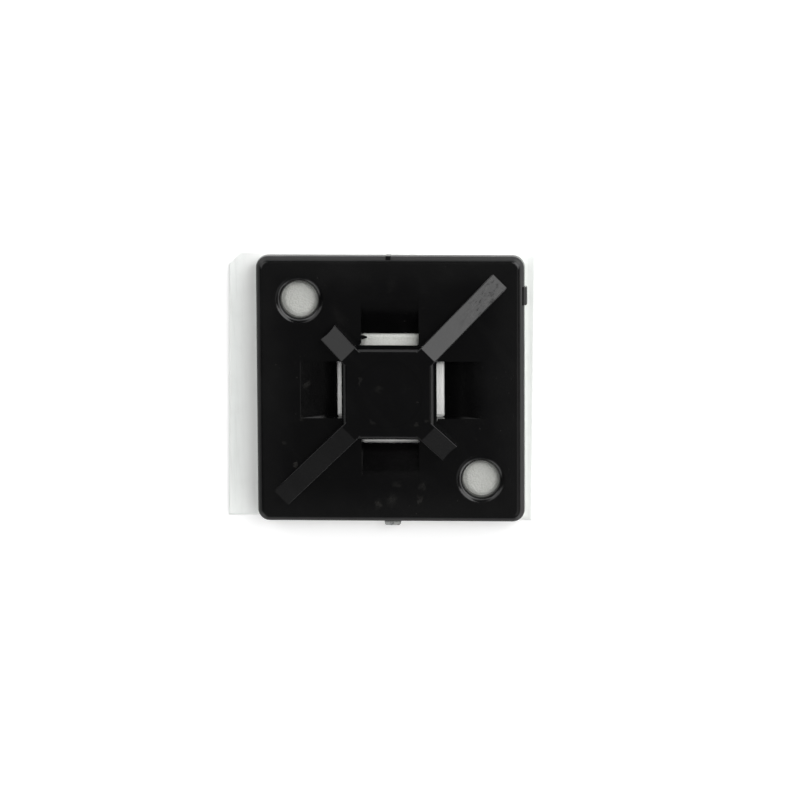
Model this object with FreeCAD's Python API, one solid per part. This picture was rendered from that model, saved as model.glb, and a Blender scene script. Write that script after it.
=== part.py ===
import FreeCAD, Part
import math
import os

# Adhesive cable tie mount: a moulded nylon plate with a raised bridge over two crossed
# tie channels, a foam tape pad under it and the tape's paper liner under the foam.
# The origin is under the middle of the plate, on the underside of the liner, with +Z up.
# All sizes are in millimetres.

# Layers under the moulding: the foam stops short of the plate's edge on every side, and
# the liner runs past the foam by its own margin on each side
foam_inset = 0.3
foam_thickness = 1.0
foam_corner_radius = 0.4
liner_thickness = 0.12
liner_margin_left = 3.3
liner_margin_right = 1.2
liner_margin_top = 0.3
liner_margin_bottom = 0.2
liner_corner_cut = 1.3
liner_turn = -0.75

# Plate
plate_side = 28.0
plate_thickness = 1.5
plate_corner_radius = 1.3
plate_wall_draft = 0.08
plate_edge_radius = 0.8

# Bridge, whose side is measured round its foot, where the sloping walls are widest
bridge_side = 9.95
bridge_height = 4.5
bridge_deck = 1.55
bridge_wall_draft = 0.38
bridge_edge_radius = 0.4
bridge_throat_run = 0.8
bridge_throat_rise = 0.15
bridge_throat_radius = 2.2
bridge_dimple_diameter = 7.1
bridge_dimple_depth = 0.05

# Tie channels: the slot beside each bridge wall and the ramp that leads down into it.
# The slots of the channel along Y are a little wider, and only the ramp on the -X side
# has a crisp lip; the others roll over softly.
channel_width = 6.0
slot_width_x = 0.66
slot_width_y = 0.81
slot_corner_radius = 0.25
ramp_reach = 4.4
ramp_toe_height = 0.2
ramp_soft_lip_radius = 4.5
ramp_crisp_lip_radius = 0.3

# Diagonal ribs
rib_width = 2.1
rib_start_from_corner = 1.2
rib_end_from_corner = 3.6
rib_edge_radius = 0.1

# Screw holes, in two opposite corners
hole_diameter = 3.8
hole_from_edge = 4.58
hole_rim_radius = 0.7
head_clearance_diameter = 9.0

# Moulding marks on the rim: how far each one stands out, its length, its height, the
# rounding along its top and its place along the rim
gate_reach = 0.05
gate_length = 0.5
gate_height = 1.38
gate_top_radius = 0.15
gate_along = 0.15
east_nub_reach = 0.25
east_nub_length = 1.9
east_nub_height = 1.25
east_nub_top_radius = 0.6
east_nub_along = 9.85
south_nub_reach = 0.5
south_nub_length = 1.7
south_nub_height = 0.5
south_nub_top_radius = 0.12
south_nub_along = 0.15
nub_round_share = 0.6

# Tongue of flash at one end of the upper slot
flash_reach = 0.85
flash_length = 0.7
flash_height = 0.3
flash_tip_radius = 0.1

# Heights and half widths that follow from the sizes above
foam_side = plate_side - 2 * foam_inset
foam_bottom = liner_thickness
body_bottom = foam_bottom + foam_thickness
plate_top = body_bottom + plate_thickness
footing = body_bottom + plate_thickness / 2
bridge_top = body_bottom + bridge_height
bridge_underside = bridge_top - bridge_deck
ramp_toe = body_bottom + ramp_toe_height
bridge_half = bridge_side / 2
ramp_end = bridge_half + ramp_reach
hole_offset = plate_side / 2 - hole_from_edge
rib_start = bridge_half * math.sqrt(2) - rib_start_from_corner
rib_root = rib_start - rib_width / 2
rib_end = plate_side / 2 * math.sqrt(2) - rib_end_from_corner

# The four ramps: the slot's width, the lip's radius and the direction as a turn from +X
ramps = [
    (slot_width_x, ramp_soft_lip_radius, 0),
    (slot_width_y, ramp_soft_lip_radius, 90),
    (slot_width_x, ramp_crisp_lip_radius, 180),
    (slot_width_y, ramp_soft_lip_radius, 270),
]

# How far a cutting solid runs past the face that it opens, and the shortest length that counts
overrun = 1.0
tolerance = 1e-6
UP = FreeCAD.Vector(0, 0, 1)
ORIGIN = FreeCAD.Vector(0, 0, 0)


def turned(shape, angle):
    """A copy of the shape turned about the vertical axis through the origin."""
    copy = shape.copy()
    copy.rotate(ORIGIN, UP, angle)
    return copy


def rounded_wire(corners, place):
    """A closed wire through corners (u, v, radius), where place turns u and v into a point."""
    count = len(corners)
    starts = []
    ends = []
    arcs = []
    for index, (u, v, radius) in enumerate(corners):
        corner = FreeCAD.Vector(u, v, 0)
        back = FreeCAD.Vector(*corners[index - 1][:2], 0) - corner
        ahead = FreeCAD.Vector(*corners[(index + 1) % count][:2], 0) - corner
        back.normalize()
        ahead.normalize()
        half_angle = back.getAngle(ahead) / 2
        if radius > 0:
            tangent = radius / math.tan(half_angle)
            inward = back + ahead
            inward.normalize()
            middle = corner + inward * (radius / math.sin(half_angle) - radius)
            starts.append(corner + back * tangent)
            ends.append(corner + ahead * tangent)
            arcs.append(middle)
        else:
            starts.append(corner)
            ends.append(corner)
            arcs.append(None)
    edges = []
    for index in range(count):
        following = (index + 1) % count
        if arcs[index] is not None:
            points = [place(p.x, p.y) for p in (starts[index], arcs[index], ends[index])]
            edges.append(Part.Arc(*points).toShape())
        first = place(ends[index].x, ends[index].y)
        last = place(starts[following].x, starts[following].y)
        if first.distanceToPoint(last) > tolerance:
            edges.append(Part.makeLine(first, last))
    return Part.Wire(edges)


def upright_prism(corners, width):
    """A prism with its profile in the vertical plane through X, as wide as given along Y."""
    wire = rounded_wire(corners, lambda u, v: FreeCAD.Vector(u, -width / 2, v))
    return Part.Face(wire).extrude(FreeCAD.Vector(0, width, 0))


def square_wire(side, radius, height):
    """A level square with rounded corners, centred on the vertical axis."""
    half = side / 2
    corners = [(-half, -half, radius), (half, -half, radius), (half, half, radius), (-half, half, radius)]
    return rounded_wire(corners, lambda u, v: FreeCAD.Vector(u, v, height))


def edges_at_height(shape, height):
    """The edges of a shape that lie level at one height."""
    chosen = []
    for edge in shape.Edges:
        box = edge.BoundBox
        if box.ZLength < tolerance and abs(box.ZMin - height) < tolerance:
            chosen.append(edge)
    return chosen


def plate():
    """The square plate, with rounded corners, slightly sloping walls and a rounded top edge."""
    foot = square_wire(plate_side, plate_corner_radius, body_bottom)
    crown = square_wire(
        plate_side - 2 * plate_wall_draft, plate_corner_radius - plate_wall_draft, plate_top
    )
    blank = Part.makeLoft([foot, crown], True, True)
    return blank.makeFillet(plate_edge_radius, edges_at_height(blank, plate_top))


def bridge():
    """The raised block in the middle, before the channels are cut under it."""
    foot = square_wire(bridge_side, 0, footing)
    shoulder = square_wire(bridge_side, 0, bridge_underside)
    crown = square_wire(bridge_side - 2 * bridge_wall_draft, 0, bridge_top)
    pillar = Part.makeLoft([foot, shoulder], True, True)
    deck = Part.makeLoft([shoulder, crown], True, True)
    deck = deck.makeFillet(bridge_edge_radius, edges_at_height(deck, bridge_top))
    block = pillar.fuse(deck)
    for quarter in range(4):
        block = block.cut(turned(rib_relief(), 45 + 90 * quarter))
    dimple = Part.makeCylinder(
        bridge_dimple_diameter / 2,
        bridge_dimple_depth + overrun,
        FreeCAD.Vector(0, 0, bridge_top - bridge_dimple_depth),
    )
    return block.cut(dimple)


def rib_height(radius):
    """The height of a rib's sloping top at a distance from the middle of the plate."""
    share = (radius - rib_start) / (rib_end - rib_start)
    return bridge_top + share * (plate_top - bridge_top)


def rib_relief():
    """What lies above a rib's slope, for cutting the bridge's corner down to it."""
    reach = rib_end + rib_width
    corners = [
        (rib_start, bridge_top, 0),
        (reach, rib_height(reach), 0),
        (reach, bridge_top + overrun, 0),
        (rib_start, bridge_top + overrun, 0),
    ]
    return upright_prism(corners, bridge_side)


def rib():
    """One rib along X: its top slopes from the bridge's corner down to the plate."""
    corners = [
        (rib_root, footing, 0),
        (rib_end, footing, 0),
        (rib_end, plate_top, 0),
        (rib_start, bridge_top, 0),
        (rib_root, bridge_top, 0),
    ]
    blank = upright_prism(corners, rib_width)
    top_edges = []
    for edge in blank.Edges:
        box = edge.BoundBox
        lengthwise = box.XLength > tolerance and box.YLength < tolerance
        if lengthwise and box.ZMax > bridge_top - tolerance:
            top_edges.append(edge)
    return blank.makeFillet(rib_edge_radius, top_edges)


def channel(slot_width):
    """The space of one tie channel along X: through the plate and under the bridge.

    Its roof turns up towards both mouths, which leaves the bridge's lower edges rounded.
    """
    window_half = bridge_half + slot_width
    roof = bridge_underside
    mouth = bridge_underside + bridge_throat_rise
    knee = bridge_half - bridge_throat_run
    corners = [
        (-window_half, body_bottom - overrun, 0),
        (window_half, body_bottom - overrun, 0),
        (window_half, mouth, 0),
        (bridge_half, mouth, 0),
        (knee, roof, bridge_throat_radius),
        (-knee, roof, bridge_throat_radius),
        (-bridge_half, mouth, 0),
        (-window_half, mouth, 0),
    ]
    blank = upright_prism(corners, channel_width)
    upright_edges = []
    for edge in blank.Edges:
        box = edge.BoundBox
        at_end = max(abs(box.XMin), abs(box.XMax)) > window_half - tolerance
        if at_end and box.XLength < tolerance and box.YLength < tolerance:
            upright_edges.append(edge)
    return blank.makeFillet(slot_corner_radius, upright_edges)


def ramp(slot_width, lip_radius):
    """What is cut from the plate beyond the slot on the +X side.

    It slopes up from the slot and rolls over its lip on to the plate's top.
    """
    window_half = bridge_half + slot_width
    slope = (plate_top - ramp_toe) / (ramp_end - window_half)
    inner = window_half - slot_width / 2
    outer = ramp_end + ramp_reach / 2
    above = plate_top + overrun
    corners = [
        (inner, ramp_toe - slope * slot_width / 2, 0),
        (ramp_end, plate_top, lip_radius),
        (outer, plate_top, 0),
        (outer, above, 0),
        (inner, above, 0),
    ]
    return upright_prism(corners, channel_width)


def screw_hole(x, y):
    """The cutting solid of a screw hole: the bore and its rounded rim."""
    bore = hole_diameter / 2
    rim = bore + 2 * hole_rim_radius
    corners = [
        (0, body_bottom - overrun, 0),
        (bore, body_bottom - overrun, 0),
        (bore, plate_top, hole_rim_radius),
        (rim, plate_top, 0),
        (rim, plate_top + overrun, 0),
        (0, plate_top + overrun, 0),
    ]
    wire = rounded_wire(corners, lambda u, v: FreeCAD.Vector(u, 0, v))
    solid = Part.Face(wire).revolve(ORIGIN, UP, 360)
    solid.translate(FreeCAD.Vector(x, y, 0))
    return solid


def head_clearance(x, y):
    """The room above the plate for a screw head, which cuts the short ribs off."""
    return Part.makeCylinder(
        head_clearance_diameter / 2, bridge_height, FreeCAD.Vector(x, y, plate_top)
    )


def edge_nub(reach, length, height, top_radius, along):
    """A small moulding mark on the +X wall of the plate, rounded at its ends and along its top."""
    root = plate_side / 2 - plate_edge_radius
    face = plate_side / 2 + reach
    round_end = min(reach, length / 2) * nub_round_share
    outline = [
        (root, along - length / 2, 0),
        (face, along - length / 2, round_end),
        (face, along + length / 2, round_end),
        (root, along + length / 2, 0),
    ]
    profile = [
        (root - overrun, body_bottom - overrun, 0),
        (face, body_bottom - overrun, 0),
        (face, body_bottom + height, top_radius),
        (root - overrun, body_bottom + height, 0),
    ]
    wire = rounded_wire(outline, lambda u, v: FreeCAD.Vector(u, v, body_bottom))
    blank = Part.Face(wire).extrude(FreeCAD.Vector(0, 0, plate_thickness))
    return blank.common(upright_prism(profile, plate_side))


def rim_marks():
    """The nub on the right, the gate's mark at the top and the torn nub at the bottom."""
    east = edge_nub(
        east_nub_reach, east_nub_length, east_nub_height, east_nub_top_radius, east_nub_along
    )
    north = edge_nub(gate_reach, gate_length, gate_height, gate_top_radius, gate_along)
    south = edge_nub(
        south_nub_reach, south_nub_length, south_nub_height, south_nub_top_radius, south_nub_along
    )
    return [east, turned(north, 90), turned(south, -90)]


def slot_flash():
    """The small tongue of flash at the left end of the upper slot."""
    left = -channel_width / 2
    middle = bridge_half + slot_width_y / 2
    corners = [
        (left - flash_reach / 2, middle - flash_length / 2, 0),
        (left + flash_reach, middle, flash_tip_radius),
        (left - flash_reach / 2, middle + flash_length / 2, 0),
    ]
    wire = rounded_wire(corners, lambda u, v: FreeCAD.Vector(u, v, body_bottom))
    return Part.Face(wire).extrude(FreeCAD.Vector(0, 0, flash_height))


def mount_body():
    """The nylon moulding, in one piece."""
    ribs = [turned(rib(), 45 + 90 * quarter) for quarter in range(4)]
    body = plate().fuse([bridge()] + ribs)
    for side in (-1, 1):
        body = body.cut(head_clearance(side * hole_offset, -side * hole_offset))
    body = body.cut([channel(slot_width_x), turned(channel(slot_width_y), 90)])
    for slot_width, lip_radius, angle in ramps:
        body = body.cut(turned(ramp(slot_width, lip_radius), angle))
    for side in (-1, 1):
        body = body.cut(screw_hole(side * hole_offset, -side * hole_offset))
    return body.fuse(rim_marks() + [slot_flash()]).removeSplitter()


def foam_pad():
    """The double-sided foam tape, which runs on under the holes and slots."""
    outline = square_wire(foam_side, foam_corner_radius, foam_bottom)
    return Part.Face(outline).extrude(FreeCAD.Vector(0, 0, foam_thickness))


def release_liner():
    """The paper liner, longer than the pad at one side, with one corner cut off."""
    left = -foam_side / 2 - liner_margin_left
    right = foam_side / 2 + liner_margin_right
    low = -foam_side / 2 - liner_margin_bottom
    high = foam_side / 2 + liner_margin_top
    corners = [
        (left, low, 0),
        (right, low, 0),
        (right, high, 0),
        (left + liner_corner_cut, high, 0),
        (left, high - liner_corner_cut, 0),
    ]
    outline = rounded_wire(corners, lambda u, v: FreeCAD.Vector(u, v, 0))
    sheet = Part.Face(outline).extrude(FreeCAD.Vector(0, 0, liner_thickness))
    sheet.rotate(ORIGIN, UP, liner_turn)
    return sheet


def single_solid(shape):
    """The one solid that a node is made of."""
    return shape.Solids[0] if len(shape.Solids) == 1 else shape


os.makedirs("parts", exist_ok=True)
nodes = {
    "mount_body": mount_body(),
    "foam_pad": foam_pad(),
    "release_liner": release_liner(),
}
for name, shape in nodes.items():
    piece = single_solid(shape)
    piece.exportStep("parts/" + name + ".step")
    print(name, "solids", len(piece.Solids), "valid", piece.isValid(), "volume", round(piece.Volume, 2))
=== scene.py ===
import logging
import math
from dataclasses import dataclass, field
from enum import Enum
from typing import ClassVar

import bmesh
import bpy
from mathutils import Matrix, Vector, noise


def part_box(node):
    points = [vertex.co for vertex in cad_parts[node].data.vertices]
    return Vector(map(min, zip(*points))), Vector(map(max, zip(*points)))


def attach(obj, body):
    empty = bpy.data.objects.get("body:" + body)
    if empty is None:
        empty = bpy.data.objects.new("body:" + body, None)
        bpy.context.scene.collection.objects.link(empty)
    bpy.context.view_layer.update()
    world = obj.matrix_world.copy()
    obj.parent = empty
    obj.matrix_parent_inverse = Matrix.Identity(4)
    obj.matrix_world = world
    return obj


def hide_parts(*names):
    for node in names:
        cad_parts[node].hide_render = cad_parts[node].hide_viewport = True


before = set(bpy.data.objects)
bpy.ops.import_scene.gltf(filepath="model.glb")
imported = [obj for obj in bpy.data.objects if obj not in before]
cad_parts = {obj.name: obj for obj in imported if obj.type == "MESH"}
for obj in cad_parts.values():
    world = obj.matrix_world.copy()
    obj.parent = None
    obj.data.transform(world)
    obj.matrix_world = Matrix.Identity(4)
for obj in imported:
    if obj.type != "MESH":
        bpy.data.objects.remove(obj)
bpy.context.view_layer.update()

# Adhesive cable tie mount: black nylon moulding on white foam tape with its paper liner.
# Sizes and places are in millimetres, but those of the floor and the lamps, the camera's distance
# and its clipping are in metres. Colours are linear.

Colour = tuple[float, float, float, float]
Span = tuple[float, float]
Loop = list[tuple[float, float, float]]
Edge = tuple[bmesh.types.BMVert, bmesh.types.BMVert]

MM = 0.001
WHITE = (1, 1, 1, 1)
log = logging.getLogger("cable_tie_mount")


def metres(span: Span) -> Span:
    """A pair of places in metres.

    Args:
        span: the pair in millimetres.

    Returns:
        The same pair in metres.
    """
    return span[0] * MM, span[1] * MM


class Signal:
    """A socket that runs through a material, with Python's operators as Math nodes."""

    def __init__(self, sheet: "NodeSheet", socket: bpy.types.NodeSocket) -> None:
        """Wraps one socket.

        Args:
            sheet: the material's node sheet.
            socket: the output that the signal stands for.
        """
        self.sheet = sheet
        self.socket = socket

    def math(self, operation: str, *others: "Signal | float", clamp: bool = False) -> "Signal":
        """Adds one Math node.

        Args:
            operation: the node's operation.
            others: what its other inputs take.
            clamp: whether the result stays between 0 and 1.

        Returns:
            The node's value.
        """
        inputs = dict(enumerate((self, *others)))
        return self.sheet.node("ShaderNodeMath", {"operation": operation, "use_clamp": clamp}, inputs)

    def __add__(self, other: "Signal | float") -> "Signal":
        """Adds something to the signal.

        Args:
            other: what is added.

        Returns:
            The sum.
        """
        return self.math("ADD", other)

    __radd__ = __add__

    def __mul__(self, other: "Signal | float") -> "Signal":
        """Multiplies the signal.

        Args:
            other: what it is multiplied by.

        Returns:
            The product.
        """
        return self.math("MULTIPLY", other)

    __rmul__ = __mul__

    def __sub__(self, other: "Signal | float") -> "Signal":
        """Takes something away from the signal.

        Args:
            other: what is taken away.

        Returns:
            The difference.
        """
        return self.math("SUBTRACT", other)

    def __rsub__(self, other: float) -> "Signal":
        """Takes the signal away from a number.

        Args:
            other: the number.

        Returns:
            The difference.
        """
        return self.sheet.node("ShaderNodeMath", {"operation": "SUBTRACT"}, {0: other, 1: self})

    def __truediv__(self, other: "Signal | float") -> "Signal":
        """Divides the signal.

        Args:
            other: what it is divided by.

        Returns:
            The quotient.
        """
        return self.math("DIVIDE", other)

    def larger(self, other: "Signal | float") -> "Signal":
        """Compares the signal with something else.

        Args:
            other: what it is compared with.

        Returns:
            The larger one.
        """
        return self.math("MAXIMUM", other)

    def size(self) -> "Signal":
        """Drops the sign.

        Returns:
            The value without its sign.
        """
        return self.math("ABSOLUTE")

    def clamped(self) -> "Signal":
        """Keeps the value between 0 and 1.

        Returns:
            The value within those limits.
        """
        return self.math("ADD", 0.0, clamp=True)

    def rise(self, low: float, high: float) -> "Signal":
        """A smooth step.

        Args:
            low: where the step starts, at 0.
            high: where it ends, at 1; below low, the step falls instead.

        Returns:
            The step, from 0 to 1.
        """
        flipped = high < low
        ends = (high, low) if flipped else (low, high)
        step = self.sheet.node(
            "ShaderNodeMapRange",
            {"interpolation_type": "SMOOTHSTEP"},
            {"Value": self, "From Min": ends[0], "From Max": ends[1]},
        )
        return 1 - step if flipped else step


@dataclass(frozen=True)
class Grain:
    """A noise pattern.

    Fields are the size of its largest lumps in millimetres, its number of finer layers, how
    strong those are, and for marks that run one way the turn in degrees about Z and the factor
    along each turned axis.
    """

    across: float
    layers: float = 3.0
    strength: float = 0.55
    turn: float = 0.0
    stretch: tuple[float, float, float] | None = None


class NodeSheet:
    """The nodes of one material or world.

    The MIX numbers are the sockets of the Mix node that a mix of colours uses.
    """

    MIX_SHARE = 0
    MIX_LOW = 6
    MIX_HIGH = 7
    MIX_COLOUR = 2

    def __init__(
        self, owner: bpy.types.Material | bpy.types.World, output: str = "Material"
    ) -> None:
        """Clears the owner's nodes and adds its output.

        Args:
            owner: the new material or world.
            output: which kind of output it takes.
        """
        self.owner = owner
        self.owner.use_nodes = True
        self.tree = owner.node_tree
        self.tree.nodes.clear()
        self.output = self.tree.nodes.new("ShaderNodeOutput" + output)

    def node(
        self,
        kind: str,
        settings: dict[str, object] | None = None,
        inputs: dict[str | int, object] | None = None,
        output: str | int = 0,
    ) -> Signal:
        """Adds any node.

        Args:
            kind: the node's type.
            settings: its own properties, set before the sockets.
            inputs: values or signals, by socket name or number.
            output: the socket that is wanted.

        Returns:
            That output.
        """
        made = self.tree.nodes.new(kind)
        for key, value in (settings or {}).items():
            setattr(made, key, value)
        for key, value in (inputs or {}).items():
            if isinstance(value, Signal):
                self.tree.links.new(value.socket, made.inputs[key])
            else:
                made.inputs[key].default_value = value
        return Signal(self, made.outputs[output])

    def place(self) -> Signal:
        """The surface point in the mount's frame, in metres.

        Returns:
            The point.
        """
        return self.node("ShaderNodeTexCoord", output="Object")

    def axes(self, point: Signal) -> tuple[Signal, Signal, Signal]:
        """Splits a point into X, Y and Z.

        Args:
            point: the point.

        Returns:
            Its three numbers.
        """
        split = self.node("ShaderNodeSeparateXYZ", inputs={0: point})
        sockets = split.socket.node.outputs
        return Signal(self, sockets[0]), Signal(self, sockets[1]), Signal(self, sockets[2])

    def facing(self) -> Signal:
        """The Z of the surface's normal, 1 where it faces straight up.

        Returns:
            That value.
        """
        return self.axes(self.node("ShaderNodeNewGeometry", output="Normal"))[2]

    def vector(
        self, operation: str, first: Signal, second: Signal | tuple[float, float, float]
    ) -> Signal:
        """Adds one Vector Math node.

        Args:
            operation: the node's operation.
            first: its first vector.
            second: its second vector.

        Returns:
            The new vector.
        """
        return self.node("ShaderNodeVectorMath", {"operation": operation}, {0: first, 1: second})

    def grain(self, point: Signal, pattern: Grain, output: str | int = 0) -> Signal:
        """Cloudy noise.

        Args:
            point: where it is read.
            pattern: its size and kind.
            output: the noise's first socket, or "Color" for three noises in one.

        Returns:
            The noise, about 0.5 on average.
        """
        if pattern.stretch is not None:
            point = self.stretched(point, pattern.turn, pattern.stretch)
        inputs = {
            "Vector": point,
            "Scale": 1 / (pattern.across * MM),
            "Detail": pattern.layers,
            "Roughness": pattern.strength,
        }
        return self.node("ShaderNodeTexNoise", {"noise_dimensions": "3D"}, inputs, output)

    def stretched(self, point: Signal, turn: float, scale: tuple[float, float, float]) -> Signal:
        """The point turned about Z and then stretched, for marks that run one way.

        Args:
            point: the point.
            turn: the turn in degrees.
            scale: the factor along each turned axis.

        Returns:
            The new point.
        """
        spin = {"rotation_type": "Z_AXIS"}
        angle = {"Vector": point, "Angle": math.radians(-turn)}
        turned = self.node("ShaderNodeVectorRotate", spin, angle)
        return self.vector("MULTIPLY", turned, scale)

    def tint(self, low: Signal | Colour, high: Signal | Colour, share: Signal) -> Signal:
        """Mixes two colours.

        Args:
            low: the colour where share is 0.
            high: the colour where share is 1.
            share: how much of high there is.

        Returns:
            The mixed colour.
        """
        ends = {self.MIX_SHARE: share, self.MIX_LOW: low, self.MIX_HIGH: high}
        return self.node("ShaderNodeMix", {"data_type": "RGBA"}, ends, self.MIX_COLOUR)

    def finish(self, surface: dict[str, object], relief: Signal, depth_mm: float) -> None:
        """Adds the shader and joins it to the output.

        Args:
            surface: values or signals of the shader's sockets.
            relief: the surface's height, where 1 stands for the depth.
            depth_mm: that depth in millimetres.
        """
        bump = self.node("ShaderNodeBump", inputs={"Height": relief, "Distance": depth_mm * MM})
        shader = self.node("ShaderNodeBsdfPrincipled", inputs={**surface, "Normal": bump})
        self.tree.links.new(shader.socket, self.output.inputs["Surface"])


class MarkKind(Enum):
    """What a small mark on the moulding is."""

    SPECK = "a grain of dust"
    SCRATCH = "a short scratch"
    # Soft marks are rubbed haze in some places and painted sheen in others, standing in for a
    # highlight
    HAZE_AND_SHEEN = "a soft rubbed patch"


@dataclass(frozen=True)
class Mark:
    """A small mark on the moulding's upper side, as an oval.

    Fields are its kind, its centre, its length and width in millimetres, the turn of its long
    side in degrees and how strongly it shows. A mark is at full strength inside its core, which
    is given as a share of its half length, and fades from there to its rim.
    """

    kind: MarkKind
    x: float
    y: float
    length: float
    width: float
    turn: float
    strength: float

    SHARP_CORE: ClassVar[float] = 0.45
    SOFT_CORE: ClassVar[float] = 0.0

    def mask(self, sheet: NodeSheet, point: Signal) -> Signal:
        """Where the mark is.

        Args:
            sheet: the material's nodes.
            point: the surface point.

        Returns:
            The mark's strength there.
        """
        centre = (self.x * MM, self.y * MM, 0)
        moved = sheet.vector("SUBTRACT", point, centre)
        fitted = (2 / (self.length * MM), 2 / (self.width * MM), 0)
        local = sheet.stretched(moved, self.turn, fitted)
        radius = sheet.node("ShaderNodeVectorMath", {"operation": "LENGTH"}, {0: local}, "Value")
        core = self.SOFT_CORE if self.kind is MarkKind.HAZE_AND_SHEEN else self.SHARP_CORE
        return radius.rise(1.0, core) * self.strength


@dataclass(frozen=True)
class BlackNylon:
    """Satin black nylon straight from the mould, a little dusty and rubbed, with painted light: a
    paler border and two soft bands of painted sheen.

    Places and sizes are in millimetres. A Span holds the two ends of a smooth step, and a field
    with share in its name says how much of a pattern goes into the colour, gloss or relief.
    """

    marks: tuple[Mark, ...]
    black: Colour = (0.0020, 0.0020, 0.0022, 1)
    # Painted light: this paler black paints the border lighter, and also shows real wear in swirls,
    # clouds and drag lines
    worn_and_lit_black: Colour = (0.0066, 0.0066, 0.0066, 1)
    # The dust's grey, also used for the painted sheen of two soft marks
    dust_and_sheen_grey: Colour = (0.17, 0.165, 0.15, 1)
    whitened: Colour = (0.42, 0.43, 0.42, 1)
    refraction: float = 1.42

    cloud: Grain = Grain(5.0, 4.0)
    skin: Grain = Grain(0.22, 4.0, 0.6)
    swirl: Grain = Grain(1.4, 3.0, turn=35, stretch=(1, 0.25, 1))
    drag: Grain = Grain(0.30, 4.0, 0.65, turn=45, stretch=(0.30, 1, 1))
    broken: Grain = Grain(0.5, 4.0, 0.7)
    lint: Grain = Grain(0.34, 1.0)
    wander: Grain = Grain(0.45, 3.0, 0.5)

    facing_up: Span = (0.75, 0.97)
    rib_facing_up: Span = (0.6, 0.9)
    below_flat: Span = (0.95, 0.87)
    above_wall: Span = (0.25, 0.45)

    rib_side: Span = (1.05, 0.90)
    rib_foot: Span = (2.62, 2.74)
    rib_end: Span = (8.5, 14.5)
    right_half: Span = (0.0, 2.0)
    south_wall: Span = (-14.02, -14.10)
    torn_skin: Span = (0.2, 0.55)

    mark_wander: float = 1.0
    broken_part: Span = (0.32, 0.62)
    mark_share: float = 0.52
    sharp_kept: float = 0.55
    soft_kept: float = 0.4
    lint_grains: Span = (0.73, 0.80)
    lint_cloud: Span = (0.45, 0.7)
    lint_share: float = 0.12
    pale_drag: Span = (0.52, 0.66)
    pale_drag_share: float = 0.10
    rib_cloud: Span = (0.50, 0.75)
    rib_skin: Span = (0.4, 0.6)
    rib_cloud_share: float = 0.03

    border: Span = (9.5, 13.2)
    border_wander: float = 2.5
    border_share: float = 0.6
    worn_swirl: Span = (0.5, 0.8)
    worn_swirl_share: float = 0.3
    worn_cloud: Span = (0.4, 0.8)
    worn_cloud_share: float = 0.2

    roughness: float = 0.11
    rough_cloud_share: float = 0.10
    rough_skin_share: float = 0.08
    rough_edge_share: float = 0.28
    rough_dust_share: float = 0.25
    rough_haze_share: float = 0.12
    dull_drag: Span = (0.48, 0.34)
    dull_drag_share: float = 0.27
    plate_edge: Span = (13.0, 13.3)
    over_plate: Span = (2.92, 3.22)
    high_edges: float = 1.9

    relief_depth: float = 0.012
    relief_skin_share: float = 0.5
    relief_swirl_share: float = 0.5
    relief_drag_share: float = 1.6
    relief_dust_share: float = 0.9

    def material(self) -> bpy.types.Material:
        """Builds the finish.

        Returns:
            The material.
        """
        sheet = NodeSheet(bpy.data.materials.new("black_nylon"))
        point = sheet.place()
        x, y, z = sheet.axes(point)
        up = sheet.facing()
        cloud = sheet.grain(point, self.cloud)
        skin = sheet.grain(point, self.skin)
        swirl = sheet.grain(point, self.swirl)

        # Fine drag lines along the upper right rib, strongest towards its outer end
        across = (x - y) / math.sqrt(2)
        along = ((x + y) / math.sqrt(2)).size()
        right = x.rise(*metres(self.right_half))
        on_rib = across.size().rise(*metres(self.rib_side)) * z.rise(*metres(self.rib_foot))
        drag = sheet.grain(point, self.drag)
        dragged = on_rib * along.rise(*metres(self.rib_end)) * up.rise(*self.rib_facing_up) * right

        # Dust and marks lie on the faces that look up; two of the soft marks are painted sheen, pale
        # bands that stand in for highlights
        ragged = self.ragged(sheet, point)
        soft = self.summed(sheet, ragged, (MarkKind.HAZE_AND_SHEEN,))
        sharp = self.summed(sheet, ragged, (MarkKind.SPECK, MarkKind.SCRATCH))
        broken = sheet.grain(point, self.broken).rise(*self.broken_part)
        marked = sharp * (self.sharp_kept + broken * (1 - self.sharp_kept))
        marked = marked + soft * (self.soft_kept + broken * (1 - self.soft_kept))
        lint = sheet.grain(point, self.lint).rise(*self.lint_grains) * cloud.rise(*self.lint_cloud)
        scuffed = dragged * drag.rise(*self.pale_drag) * self.pale_drag_share
        patches = cloud.rise(*self.rib_cloud) * skin.rise(*self.rib_skin)
        scuffed = scuffed + on_rib * right * patches * self.rib_cloud_share
        dust_and_sheen = up.rise(*self.facing_up) * (marked * self.mark_share + lint * self.lint_share)
        dust_and_sheen = (dust_and_sheen + scuffed).clamped()

        # Painted light: the plate's border is painted a little paler than its middle, standing in for
        # the shade that lies over the middle; swirls, clouds and the rib's drag lines add real wear
        outward = x.size().larger(y.size())
        reach = outward + (cloud - 0.5) * self.border_wander * MM
        worn_and_lit = reach.rise(*metres(self.border)) * self.border_share
        worn_and_lit = worn_and_lit + swirl.rise(*self.worn_swirl) * self.worn_swirl_share
        worn_and_lit = worn_and_lit + cloud.rise(*self.worn_cloud) * self.worn_cloud_share + dragged * drag
        colour = sheet.tint(self.black, self.worn_and_lit_black, worn_and_lit.clamped())
        colour = sheet.tint(colour, self.dust_and_sheen_grey, dust_and_sheen)

        # The nub on the lower wall is torn and whitened
        torn = y.rise(*metres(self.south_wall)) * skin.rise(*self.torn_skin)
        colour = sheet.tint(colour, self.whitened, torn)

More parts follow.
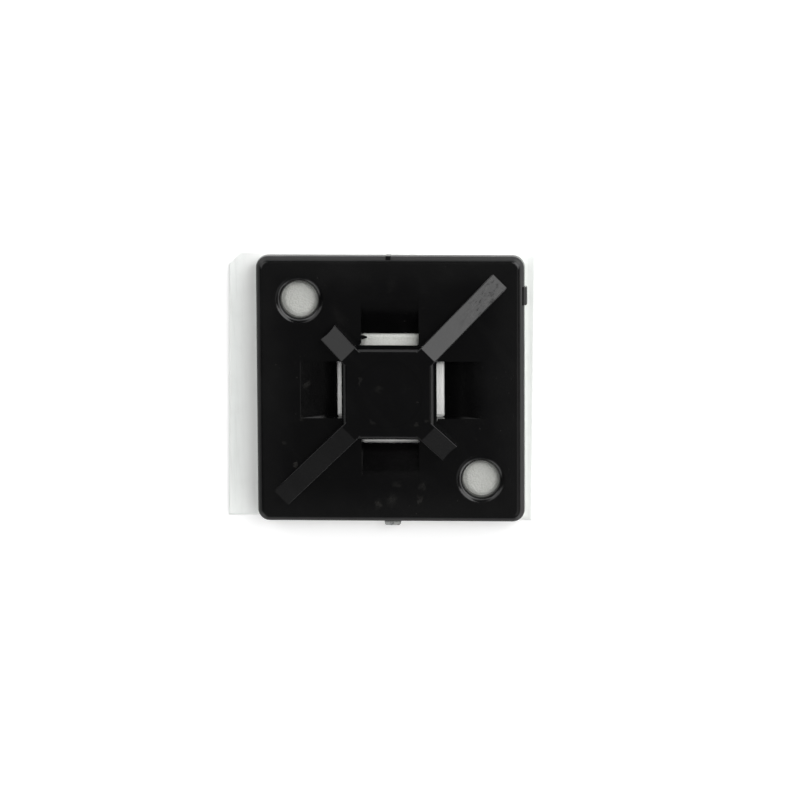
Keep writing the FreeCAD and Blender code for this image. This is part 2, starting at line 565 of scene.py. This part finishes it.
        # The rounded edges are duller than the faces between them
        outer = outward.rise(*metres(self.plate_edge))
        high = z.rise(*metres(self.over_plate)) * self.high_edges
        rounded = up.rise(*self.below_flat) * up.rise(*self.above_wall) * outer.larger(high)
        gloss = self.roughness + cloud * self.rough_cloud_share
        gloss = gloss + (skin - 0.5) * self.rough_skin_share + rounded * self.rough_edge_share
        gloss = gloss + dragged * drag.rise(*self.dull_drag) * self.dull_drag_share
        gloss = gloss + dust_and_sheen * self.rough_dust_share + soft * self.rough_haze_share

        relief = skin * self.relief_skin_share + swirl * self.relief_swirl_share
        relief = relief + dragged * drag * self.relief_drag_share + dust_and_sheen * self.relief_dust_share
        surface = {"Base Color": colour, "Roughness": gloss.clamped(), "IOR": self.refraction}
        sheet.finish(surface, relief, self.relief_depth)
        return sheet.owner

    def ragged(self, sheet: NodeSheet, point: Signal) -> Signal:
        """Shifts the surface point about a little, so that the marks' outlines aren't smooth.

        Args:
            sheet: the material's nodes.
            point: the surface point.

        Returns:
            The shifted point.
        """
        noise_colour = sheet.grain(point, self.wander, "Color")
        centred = sheet.vector("SUBTRACT", noise_colour, (0.5, 0.5, 0.5))
        reach = self.mark_wander * MM
        shift = sheet.vector("MULTIPLY", centred, (reach, reach, reach))
        return sheet.vector("ADD", point, shift)

    def summed(self, sheet: NodeSheet, point: Signal, kinds: tuple[MarkKind, ...]) -> Signal:
        """Joins the marks of some kinds, taking the stronger where two meet.

        Args:
            sheet: the material's nodes.
            point: the surface point.
            kinds: the kinds that count.

        Returns:
            Their joint mask.
        """
        masks = [mark.mask(sheet, point) for mark in self.marks if mark.kind in kinds]
        total = masks[0]
        for mask in masks[1:]:
            total = total.larger(mask)
        return total


@dataclass(frozen=True)
class FoamTape:
    """White closed-cell foam with a clear adhesive film on its upper face."""

    white: Colour = (0.765, 0.775, 0.735, 1)
    shaded: Colour = (0.61, 0.62, 0.58, 1)
    # Painted light: the whiter foam used under the bridge and in three slots
    painted_light_white: Colour = (0.95, 0.95, 0.925, 1)
    refraction: float = 1.45
    roughness: float = 0.85
    film_gloss: float = 0.35
    filmed: Span = (0.6, 0.95)
    cell_size: float = 0.16
    pitted: Span = (0.25, 0.7)
    film_fill: float = 0.35
    cloud: Grain = Grain(2.5, 4.0)
    shade_cloud: Span = (0.5, 0.8)
    pit_share: float = 0.6
    cloud_share: float = 0.3
    middle: Span = (7.0, 6.5)
    below_top_slot: Span = (4.5, 4.0)
    relief_cloud_share: float = 0.4
    relief_depth: float = 0.03

    def material(self) -> bpy.types.Material:
        """Builds the finish.

        Returns:
            The material.
        """
        sheet = NodeSheet(bpy.data.materials.new("white_foam"))
        point = sheet.place()
        film = sheet.facing().rise(*self.filmed)
        cells = sheet.node(
            "ShaderNodeTexVoronoi",
            {"feature": "SMOOTH_F1"},
            {"Vector": point, "Scale": 1 / (self.cell_size * MM), "Randomness": 1.0},
        )
        cloud = sheet.grain(point, self.cloud)
        pits = cells.rise(*self.pitted) * (1 - film * self.film_fill)
        shade = pits * self.pit_share + cloud.rise(*self.shade_cloud) * self.cloud_share
        colour = sheet.tint(self.white, self.shaded, shade.clamped())

        # Painted light: the foam is painted whiter under the bridge and in the lower, left and right
        # slots, standing in for light that the lamps don't bring there
        x, y, _ = sheet.axes(point)
        middle = x.size().larger(y.size()).rise(*metres(self.middle))
        middle = middle * y.rise(*metres(self.below_top_slot))
        colour = sheet.tint(colour, self.painted_light_white, middle)
        gloss = self.roughness - film * self.film_gloss
        relief = (1 - pits) + cloud * self.relief_cloud_share
        surface = {"Base Color": colour, "Roughness": gloss, "IOR": self.refraction}
        sheet.finish(surface, relief, self.relief_depth)
        return sheet.owner


@dataclass(frozen=True)
class LinerPaper:
    """Smooth white release paper, silicone-coated, with a faint cool cast."""

    white: Colour = (0.90, 0.925, 0.905, 1)
    fibre: Colour = (0.80, 0.82, 0.80, 1)
    # Painted light: the whiter paper used next to the plate
    painted_light_white: Colour = (0.97, 0.98, 0.97, 1)
    refraction: float = 1.42
    roughness: float = 0.36
    fibre_roughness: float = 0.18
    cloud: Grain = Grain(1.8, 5.0, 0.6)
    fibres: Grain = Grain(0.40, 4.0, 0.6, turn=2, stretch=(1, 0.07, 1))
    cloud_marks: Span = (0.45, 0.8)
    cloud_share: float = 0.4
    fibre_marks: Span = (0.45, 0.75)
    fibre_share: float = 0.6
    towards_plate: Span = (-16.8, -13.9)
    left_half: Span = (0.0, -16.8)
    relief_depth: float = 0.004

    def material(self) -> bpy.types.Material:
        """Builds the finish.

        Returns:
            The material.
        """
        sheet = NodeSheet(bpy.data.materials.new("liner_paper"))
        point = sheet.place()
        cloud = sheet.grain(point, self.cloud)
        fibres = sheet.grain(point, self.fibres)
        marks = cloud.rise(*self.cloud_marks) * self.cloud_share
        marks = marks + fibres.rise(*self.fibre_marks) * self.fibre_share
        colour = sheet.tint(self.white, self.fibre, marks.clamped())

        # Painted light: the tab is painted whitest where it comes out from under the plate, to lift
        # the shadow that the plate casts there
        x, _, _ = sheet.axes(point)
        beside = x.rise(*metres(self.towards_plate)) * x.rise(*metres(self.left_half))
        colour = sheet.tint(colour, self.painted_light_white, beside)
        gloss = self.roughness + fibres * self.fibre_roughness
        relief = fibres * self.fibre_share + cloud * self.cloud_share
        surface = {"Base Color": colour, "Roughness": gloss, "IOR": self.refraction}
        sheet.finish(surface, relief, self.relief_depth)
        return sheet.owner


@dataclass(frozen=True)
class StudioWhite:
    """The pale floor: matt, and topped up to white where the camera looks at it straight."""

    pale: Colour = (0.86, 0.86, 0.86, 1)
    top_up: float = 0.29

    def material(self) -> bpy.types.Material:
        """Builds the finish.

        Returns:
            The material.
        """
        sheet = NodeSheet(bpy.data.materials.new("studio_floor"))
        seen = sheet.node("ShaderNodeLightPath", output="Is Camera Ray")
        matt = sheet.node("ShaderNodeBsdfDiffuse", inputs={"Color": self.pale})
        shine = {"Color": WHITE, "Strength": seen * self.top_up}
        glow = sheet.node("ShaderNodeEmission", inputs=shine)
        both = sheet.node("ShaderNodeAddShader", inputs={0: matt, 1: glow})
        sheet.tree.links.new(both.socket, sheet.output.inputs["Surface"])
        return sheet.owner


def link_mesh(name: str, build: bmesh.types.BMesh, material: bpy.types.Material) -> bpy.types.Object:
    """Turns a built mesh into an object in the scene.

    Args:
        name: the piece's name.
        build: the mesh under construction, which is used up.
        material: its finish.

    Returns:
        The object.
    """
    bmesh.ops.recalc_face_normals(build, faces=build.faces)
    mesh = bpy.data.meshes.new(name)
    build.to_mesh(mesh)
    build.free()
    mesh.shade_smooth()
    mesh.materials.append(material)
    piece = bpy.data.objects.new(name, mesh)
    bpy.context.scene.collection.objects.link(piece)
    return piece


@dataclass(frozen=True)
class Lumps:
    """Repeatable smooth noise over the part: the lumps' size and the place of the pattern."""

    across: float
    place: tuple[float, float, float]

    def at(self, x: float, y: float, z: float) -> float:
        """Reads the noise.

        Args:
            x: the place along X, in millimetres.
            y: the place along Y.
            z: the place along Z.

        Returns:
            A value from about -1 to 1.
        """
        return noise.noise(Vector((x, y, z)) / self.across + Vector(self.place))


@dataclass
class Moulding:
    """The black nylon moulding, whose shape is the CAD node's own."""

    finish: BlackNylon
    node: str = "mount_body"

    def dress(self) -> bpy.types.Object:
        """Gives the node its finish.

        Returns:
            The node's object.
        """
        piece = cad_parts[self.node]
        piece.data.materials.clear()
        piece.data.materials.append(self.finish.material())
        return piece


@dataclass
class FoamPad:
    """The foam tape pad: its sides bulge a little, and it swells into the openings above it."""

    node: str = "foam_pad"
    corner_radius: float = 0.4
    side_bulge: float = 0.07
    edge_roll: float = 0.06
    tear: float = 0.035
    edge_tear: float = 0.014
    torn: Lumps = Lumps(0.5, (3.1, 2.17, 0))
    swell: float = 0.20
    swell_edge: float = 0.22
    hole_place: float = 9.42
    hole_radius: float = 1.9
    channel_half_width: float = 3.0
    window_half_x: float = 5.635
    window_half_y: float = 5.785
    edge_points: int = 64
    corner_points: int = 6
    rings: int = 60
    rings_per_lower_ring: int = 6
    side_rows: int = 9
    finish: FoamTape = field(default_factory=FoamTape)

    def outline(self, half: float) -> list[Vector]:
        """The pad's outline in plan.

        Args:
            half: half its side.

        Returns:
            Points round a square with rounded corners.
        """
        points = []
        straight = half - self.corner_radius
        for quarter in range(4):
            turn = Matrix.Rotation(math.radians(90 * quarter), 2)
            for step in range(self.edge_points):
                along = -straight + 2 * straight * step / self.edge_points
                points.append(turn @ Vector((half, along)))
            for step in range(self.corner_points):
                angle = math.radians(90 * step / self.corner_points)
                bend = Vector((math.cos(angle), math.sin(angle))) * self.corner_radius
                points.append(turn @ (Vector((straight, straight)) + bend))
        return points

    def openness(self, x: float, y: float) -> float:
        """How far inside an opening of the moulding a point lies.

        Args:
            x: the place along X, in millimetres.
            y: the place along Y.

        Returns:
            The swelling's share there, from 0 to 1.
        """
        depths = [
            self.hole_radius - math.dist((x, y), (-self.hole_place, self.hole_place)),
            self.hole_radius - math.dist((x, y), (self.hole_place, -self.hole_place)),
            min(self.window_half_x - abs(x), self.channel_half_width - abs(y)),
            min(self.window_half_y - abs(y), self.channel_half_width - abs(x)),
        ]
        share = min(max(max(depths) / self.swell_edge, 0), 1)
        return share * share * (3 - 2 * share)

    def side(self, outline: list[Vector], half: float, low: float, high: float) -> list[Loop]:
        """The pad's bulging, roughly cut side.

        Args:
            outline: the pad's outline in plan.
            half: half its side.
            low: the height of its lower face.
            high: the height of its upper face.

        Returns:
            Loops of points round it, from the upper edge down.
        """
        loops = []
        for row in range(self.side_rows + 1):
            share = row / self.side_rows
            bow = 1 - (2 * share - 1) ** 2
            at_edge = row in (0, self.side_rows)
            rolled = self.edge_roll if at_edge else 0.0
            tear = self.edge_tear if at_edge else self.tear
            level = high - (high - low) * share
            loop = []
            for p in outline:
                torn = tear * self.torn.at(p.x, p.y, level)
                scale = 1 - (self.side_bulge * (1 - bow) + rolled - min(torn, 0.0)) / half
                loop.append((p.x * scale, p.y * scale, level))
            loops.append(loop)
        return loops

    def build(self) -> bpy.types.Object:
        """Builds and dresses the pad.

        Returns:
            The pad's object.
        """
        low, high = (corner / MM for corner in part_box(self.node))
        half = high.x
        build = bmesh.new()
        outline = self.outline(half)
        loops = []
        for ring in range(1, self.rings):
            share = ring / self.rings
            loops.append([(p.x * share, p.y * share, high.z) for p in outline])
        loops += self.side(outline, half, low.z, high.z)
        for ring in range(self.rings - 1, 0, -self.rings_per_lower_ring):
            share = ring / self.rings
            loops.append([(p.x * share, p.y * share, low.z) for p in outline])
        rows = []
        for index, loop in enumerate(loops):
            upper = index < self.rings - 1
            rows.append([self.vertex(build, point, upper) for point in loop])
        count = len(outline)
        for above, below in zip(rows, rows[1:]):
            for k in range(count):
                after = (k + 1) % count
                build.faces.new((above[k], above[after], below[after], below[k]))
        for row, level in ((rows[0], high.z), (rows[-1], low.z)):
            middle = self.vertex(build, (0, 0, level), level == high.z)
            for k in range(count):
                build.faces.new((row[k], row[(k + 1) % count], middle))
        piece = link_mesh("foam_tape_pad", build, self.finish.material())
        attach(piece, "root")
        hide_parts(self.node)
        return piece

    def vertex(
        self, build: bmesh.types.BMesh, point: tuple[float, float, float], upper: bool
    ) -> bmesh.types.BMVert:
        """Adds one point of the pad, swollen where an opening lies over it.

        Args:
            build: the mesh.
            point: the place in millimetres.
            upper: whether it is on the upper face.

        Returns:
            The new vertex.
        """
        x, y, z = point
        if upper:
            z += self.swell * self.openness(x, y)
        return build.verts.new((x * MM, y * MM, z * MM))


@dataclass
class ReleaseLiner:
    """The paper liner: one cut corner, and a tab at the left that lifts a little."""

    node: str = "release_liner"
    margin_left: float = 3.3
    margin_right: float = 1.2
    margin_top: float = 0.3
    margin_bottom: float = 0.2
    corner_cut: float = 1.3
    turn: float = -0.75
    held_past_foam: float = 0.2
    curl: float = 0.35
    curl_power: float = 1.6
    curl_middle: float = 0.75
    curl_slant: float = 0.25
    ripple: float = 0.05
    rippled: Lumps = Lumps(5.0, (8.3, 5.81, 0))
    off_floor: float = 0.004
    columns: int = 150
    crowding_left: float = 1.15
    rows: int = 110
    corner_rows: int = 6
    finish: LinerPaper = field(default_factory=LinerPaper)

    def lift(self, x: float, y: float, foam_half: float) -> float:
        """How far the paper stands off the surface under it.

        Args:
            x: the place along X before the turn, in millimetres.
            y: the place along Y.
            foam_half: half the pad's side.

        Returns:
            The height in millimetres, 0 wherever the foam holds the paper down.
        """
        past = max(-x - foam_half - self.held_past_foam, 0) / self.margin_left
        slant = self.curl_middle + self.curl_slant * y / foam_half
        bent = self.curl * past**self.curl_power * slant
        return bent + self.ripple * past * self.rippled.at(x, y, 0)

    def build(self) -> bpy.types.Object:
        """Builds and dresses the liner.

        Returns:
            The liner's object.
        """
        foam_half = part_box("foam_pad")[1].x / MM
        low, high = (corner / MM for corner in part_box(self.node))
        thickness = high.z - low.z
        left = -foam_half - self.margin_left
        right = foam_half + self.margin_right
        bottom = -foam_half - self.margin_bottom
        top = foam_half + self.margin_top
        cut_from = top - self.corner_cut
        levels = [bottom + (cut_from - bottom) * k / self.rows for k in range(self.rows)]
        shares = [k / self.corner_rows for k in range(self.corner_rows + 1)]
        levels += [cut_from + self.corner_cut * share for share in shares]
        turn = Matrix.Rotation(math.radians(self.turn), 2)
        build = bmesh.new()
        sheets = []
        for side in (self.off_floor, thickness):
            grid = []
            for y in levels:
                start = left + max(y - cut_from, 0)
                row = []
                for k in range(self.columns + 1):
                    x = start + (right - start) * (k / self.columns) ** self.crowding_left
                    place = turn @ Vector((x, y))
                    height = low.z + side + self.lift(x, y, foam_half)
                    row.append(build.verts.new((place.x * MM, place.y * MM, height * MM)))
                grid.append(row)
            sheets.append(grid)
        under, over = sheets
        for grid in sheets:
            for first, second in zip(grid, grid[1:]):
                for k in range(self.columns):
                    build.faces.new((first[k], first[k + 1], second[k + 1], second[k]))
        for rim_under, rim_over in zip(self.rim(under), self.rim(over)):
            build.faces.new((rim_under[0], rim_under[1], rim_over[1], rim_over[0]))
        piece = link_mesh("paper_liner", build, self.finish.material())
        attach(piece, "root")
        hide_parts(self.node)
        return piece

    def rim(self, grid: list[list[bmesh.types.BMVert]]) -> list[Edge]:
        """The edges round one face of the sheet, in order.

        Args:
            grid: the face's rows of vertices.

        Returns:
            Pairs of neighbouring vertices.
        """
        around = list(grid[0])
        around += [row[-1] for row in grid[1:]]
        around += grid[-1][-2::-1]
        around += [row[0] for row in grid[-2:0:-1]]
        return list(zip(around, around[1:] + around[:1]))


@dataclass(frozen=True)
class Softbox:
    """A soft lamp: the direction it stands in, its distance, size and radiance."""

    name: str
    toward: tuple[float, float, float]
    distance: float
    width: float
    height: float
    radiance: float

    def hang(self) -> bpy.types.Object:
        """Adds the lamp, aimed at the mount.

        Returns:
            The lamp's object.
        """
        lamp = bpy.data.lights.new(self.name, "AREA")
        lamp.shape = "RECTANGLE"
        lamp.size = self.width
        lamp.size_y = self.height
        lamp.energy = self.radiance * math.pi * self.width * self.height
        holder = bpy.data.objects.new(self.name, lamp)
        direction = Vector(self.toward).normalized()
        holder.location = direction * self.distance
        holder.rotation_mode = "QUATERNION"
        holder.rotation_quaternion = direction.to_track_quat("Z", "Y")
        bpy.context.scene.collection.objects.link(holder)
        return holder


@dataclass
class Studio:
    """Floor, lamps, world and camera."""

    floor_side: float = 6.0
    zenith: float = 0.10
    zenith_rise: Span = (0.84, 1.0)
    horizon: float = 1.65
    horizon_fall: Span = (0.68, 0.05)
    east_gain: float = 0.95
    north_gain: float = 0.62
    corners: float = 2.0
    corner_rise: Span = (0.23, 0.42)
    skyline: Span = (-0.02, 0.02)
    front: float = 0.10
    front_rise: Span = (-0.15, -0.55)
    lean_north: float = 9.0
    lean_east: float = 3.5
    roll: float = -0.3
    distance: float = 0.5
    view_width: float = 83.35
    sensor: float = 36.0
    clip: Span = (0.01, 50)
    aim: tuple[float, float, float] = (0.995, -1.14, 2.0)
    white: StudioWhite = field(default_factory=StudioWhite)
    lamps: tuple[Softbox, ...] = (
        Softbox("softbox_right", (0.463, 0.360, 0.810), 0.8, 0.50, 0.52, 3.65),
        Softbox("softbox_left", (-0.55, 0.33, 0.767), 0.8, 0.50, 0.52, 1.55),
        Softbox("fill_right", (0.33, -0.32, 0.89), 0.8, 0.34, 0.34, 0.52),
        Softbox("fill_left", (-0.42, -0.53, 0.74), 0.8, 0.26, 0.30, 0.19),
    )

    def build(self) -> None:
        """Adds everything round the mount."""
        self.lay_floor()
        for lamp in self.lamps:
            lamp.hang()
        self.light_world()
        self.place_camera()
        bpy.context.scene.view_settings.view_transform = "Standard"

    def lay_floor(self) -> None:
        """Lays the floor under the liner."""
        build = bmesh.new()
        half = self.floor_side / 2
        signs = ((-1, -1), (1, -1), (1, 1), (-1, 1))
        corners = [build.verts.new((sx * half, sy * half, 0)) for sx, sy in signs]
        build.faces.new(corners)
        floor = link_mesh("studio_floor", build, self.white.material())

    def light_world(self) -> None:
        """Sets the world: a tent dim overhead and paler low down, which the camera sees as white."""
        world = bpy.data.worlds.new("studio_world")
        bpy.context.scene.world = world
        sheet = NodeSheet(world, "World")
        x, y, z = sheet.axes(sheet.node("ShaderNodeTexCoord", output="Generated"))
        lean = 1 + x * self.east_gain + y * self.north_gain
        tent = z.rise(*self.horizon_fall) * lean * self.horizon
        tent = tent + z.rise(*self.zenith_rise) * self.zenith
        in_corner = (x * y).size().rise(*self.corner_rise) * z.rise(*self.skyline)
        tent = tent + in_corner * self.corners + y.rise(*self.front_rise) * self.front
        seen = sheet.node("ShaderNodeLightPath", output="Is Camera Ray")
        strength = tent * (1 - seen) + seen
        glow = sheet.node("ShaderNodeBackground", inputs={"Color": WHITE, "Strength": strength})
        sheet.tree.links.new(glow.socket, sheet.output.inputs["Surface"])

    def place_camera(self) -> None:
        """Places the camera at the photograph's angle, nearly straight above."""
        data = bpy.data.cameras.new("camera")
        data.sensor_width = self.sensor
        data.lens = self.sensor * self.distance / (self.view_width * MM)
        data.clip_start, data.clip_end = self.clip
        camera = bpy.data.objects.new("camera", data)
        lean = (math.tan(math.radians(self.lean_east)), math.tan(math.radians(self.lean_north)), 1)
        back = Vector(lean).normalized()
        right = Vector((0, 1, 0)).cross(back).normalized()
        up = back.cross(right)
        axes = Matrix((right, up, back)).transposed()
        rolled = axes @ Matrix.Rotation(math.radians(self.roll), 3, "Z")
        place = Matrix.Translation(Vector(self.aim) * MM + back * self.distance)
        camera.matrix_world = place @ rolled.to_4x4()
        bpy.context.scene.collection.objects.link(camera)
        bpy.context.scene.camera = camera


DUST_SCUFFS_AND_SHEEN = (
    Mark(MarkKind.SPECK, -8.70, 0.48, 1.35, 0.75, 62, 0.13),
    Mark(MarkKind.SPECK, -9.90, -7.93, 0.85, 0.65, 60, 0.26),
    Mark(MarkKind.SPECK, -9.20, -3.05, 0.60, 0.45, 0, 0.10),
    Mark(MarkKind.SPECK, -11.1, -5.60, 0.55, 0.50, 40, 0.08),
    Mark(MarkKind.SCRATCH, -2.96, 1.33, 1.00, 0.34, 84, 0.09),
    Mark(MarkKind.HAZE_AND_SHEEN, -1.08, 0.54, 1.2, 0.9, 20, 0.07),
    Mark(MarkKind.SCRATCH, -1.72, -2.95, 1.10, 0.50, -40, 0.07),
    Mark(MarkKind.SPECK, 2.97, -3.11, 0.70, 0.40, 10, 0.10),
    Mark(MarkKind.SPECK, 4.02, -2.71, 0.45, 0.35, 30, 0.08),
    Mark(MarkKind.HAZE_AND_SHEEN, -1.30, -12.1, 1.6, 1.0, 80, 0.16),
    Mark(MarkKind.HAZE_AND_SHEEN, 0.10, -11.6, 1.9, 1.4, 85, 0.10),
    Mark(MarkKind.HAZE_AND_SHEEN, 0.55, -10.0, 1.3, 0.9, 10, 0.11),
    Mark(MarkKind.HAZE_AND_SHEEN, 3.05, -11.6, 1.3, 0.8, 90, 0.17),
    Mark(MarkKind.HAZE_AND_SHEEN, 3.35, -10.2, 1.6, 0.9, 90, 0.13),
    # Painted sheen: these two soft pale bands, between the upper left hole and the top slot and above
    # the top slot, stand in for highlights on the plate
    Mark(MarkKind.HAZE_AND_SHEEN, -5.3, 7.6, 4.4, 1.9, -62, 0.035),
    Mark(MarkKind.HAZE_AND_SHEEN, 0.2, 11.0, 3.2, 1.6, 82, 0.03),
)


def main() -> None:
    """Builds the mount's pieces in order, then the studio."""
    logging.basicConfig(level=logging.INFO, format="%(name)s: %(message)s")
    moulding = Moulding(finish=BlackNylon(marks=DUST_SCUFFS_AND_SHEEN))
    pieces = [moulding.dress(), FoamPad().build(), ReleaseLiner().build()]
    for piece in pieces:
        log.info("%s: %d faces", piece.name, len(piece.data.polygons))
    Studio().build()


if __name__ == "__main__":
    main()
